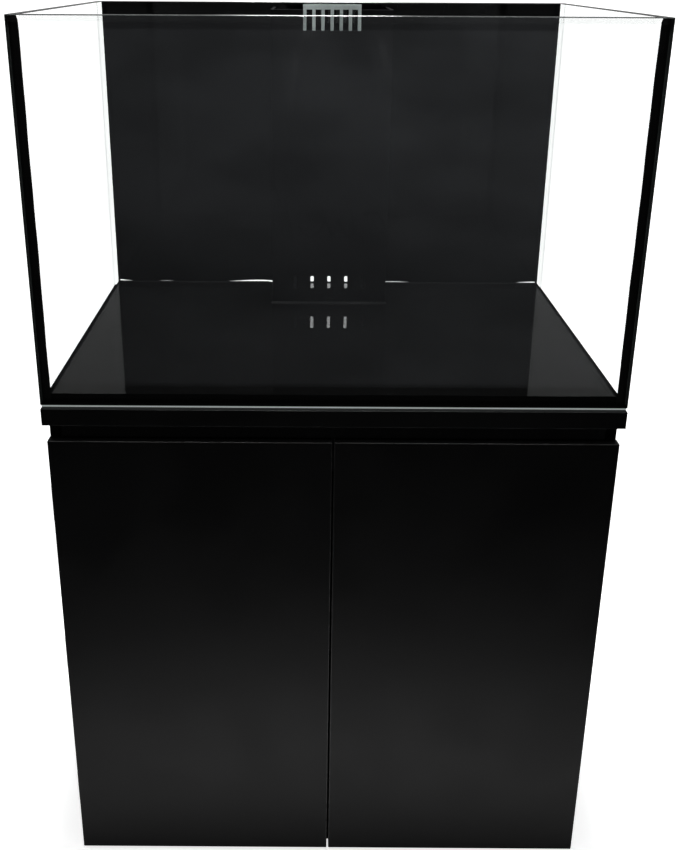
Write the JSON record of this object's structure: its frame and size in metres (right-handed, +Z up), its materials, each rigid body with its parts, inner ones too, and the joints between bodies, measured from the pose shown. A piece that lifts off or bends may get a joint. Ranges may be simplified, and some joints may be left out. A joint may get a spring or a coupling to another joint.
{
  "type": "aquarium on stand",
  "caption": "Rimless glass fish tank with a black back, floor and overflow box, on a black cabinet stand whose hinged doors open on push latches.",
  "frame": {"origin": "on the floor under the middle of the stand", "axes": "+Z up, the doors and the front pane face -Y, +X to the right as seen from the front"},
  "size_m": [0.914, 0.626, 1.484],
  "materials": {
    "clear_glass": "clear float glass with polished edges",
    "black_silicone": "black silicone, softly glossy",
    "black_film": "black vinyl film",
    "pale_foam": "pale closed-cell levelling foam",
    "black_acrylic": "polished black acrylic",
    "frosted_acrylic": "pale translucent acrylic",
    "bulkhead_plastic": "moulded black plastic",
    "gasket_rubber": "black rubber",
    "pipe_plastic": "dark grey pipe plastic",
    "black_board": "satin black painted board",
    "dowel_wood": "beech dowel",
    "glide_plastic": "black plastic",
    "hinge_steel": "black finished steel",
    "screw_steel": "zinc-blackened steel",
    "latch_plastic": "black plastic",
    "plunger_plastic": "grey plastic",
    "spring_steel": "spring steel",
    "strike_steel": "plated steel",
    "bumper_rubber": "clear soft rubber"
  },
  "bodies": {
    "aquarium": {"pane_front": "clear_glass", "pane_back": "clear_glass", "pane_left": "clear_glass", "pane_right": "clear_glass", "pane_floor": "clear_glass", "seal_front_left": "black_silicone", "seal_front_right": "black_silicone", "seal_back_left": "black_silicone", "seal_back_right": "black_silicone", "seal_floor": "black_silicone", "back_film": "black_film", "levelling_mat": "pale_foam", "overflow_front": "black_acrylic", "overflow_left": "black_acrylic", "overflow_right": "black_acrylic", "seal_overflow": "black_silicone", "weir_comb": "frosted_acrylic", "drain_bulkhead": "bulkhead_plastic", "drain_bulkhead_gasket": "gasket_rubber", "drain_bulkhead_nut": "bulkhead_plastic", "return_bulkhead": "bulkhead_plastic", "return_bulkhead_gasket": "gasket_rubber", "return_bulkhead_nut": "bulkhead_plastic", "return_riser": "pipe_plastic", "return_cap": "pipe_plastic", "stand_top": "black_board", "side_panel_left": "black_board", "side_panel_right": "black_board", "cabinet_floor": "black_board", "front_rail": "black_board", "back_panel": "black_board", "carcass_dowels": "dowel_wood", "floor_glides": "glide_plastic", "hinge_frame_leaves_left": "hinge_steel", "hinge_frame_leaves_right": "hinge_steel", "hinge_frame_screws_left": "screw_steel", "hinge_frame_screws_right": "screw_steel", "hinge_pins_left": "hinge_steel", "hinge_pins_right": "hinge_steel", "latch_housing_left": "latch_plastic", "latch_housing_right": "latch_plastic", "latch_spring_left": "spring_steel", "latch_spring_right": "spring_steel"},
    "door_left": {"door_left": "black_board", "hinge_door_leaves_left": "hinge_steel", "hinge_door_screws_left": "screw_steel", "latch_strike_left": "strike_steel", "strike_screw_left": "screw_steel", "door_bumper_left": "bumper_rubber"},
    "door_right": {"door_right": "black_board", "hinge_door_leaves_right": "hinge_steel", "hinge_door_screws_right": "screw_steel", "latch_strike_right": "strike_steel", "strike_screw_right": "screw_steel", "door_bumper_right": "bumper_rubber"},
    "latch_plunger_left": {"latch_plunger_left": "plunger_plastic"},
    "latch_plunger_right": {"latch_plunger_right": "plunger_plastic"},
    "standpipe": {"drain_standpipe": "pipe_plastic", "drain_strainer": "pipe_plastic"}
  },
  "joints": [
    {"name": "door_left_swing", "type": "hinge", "parent": "aquarium", "child": "door_left", "pos_m": [-0.453, -0.2905, 0], "axis": [0, 0, -1], "range_deg": [0, 170]},
    {"name": "door_right_swing", "type": "hinge", "parent": "aquarium", "child": "door_right", "pos_m": [0.453, -0.2905, 0], "axis": [0, 0, 1], "range_deg": [0, 170]},
    {"name": "latch_left_push", "type": "slide", "parent": "aquarium", "child": "latch_plunger_left", "axis": [0, 1, 0], "range_m": [0, 0.002], "stiffness_N_per_m": 600, "springref_m": -0.003, "deforming": ["latch_spring_left"]},
    {"name": "latch_right_push", "type": "slide", "parent": "aquarium", "child": "latch_plunger_right", "axis": [0, 1, 0], "range_m": [0, 0.002], "stiffness_N_per_m": 600, "springref_m": -0.003, "deforming": ["latch_spring_right"]},
    {"name": "standpipe_lift", "type": "slide", "parent": "aquarium", "child": "standpipe", "axis": [0, 0, 1], "range_m": [0, 0.12]}
  ]
}
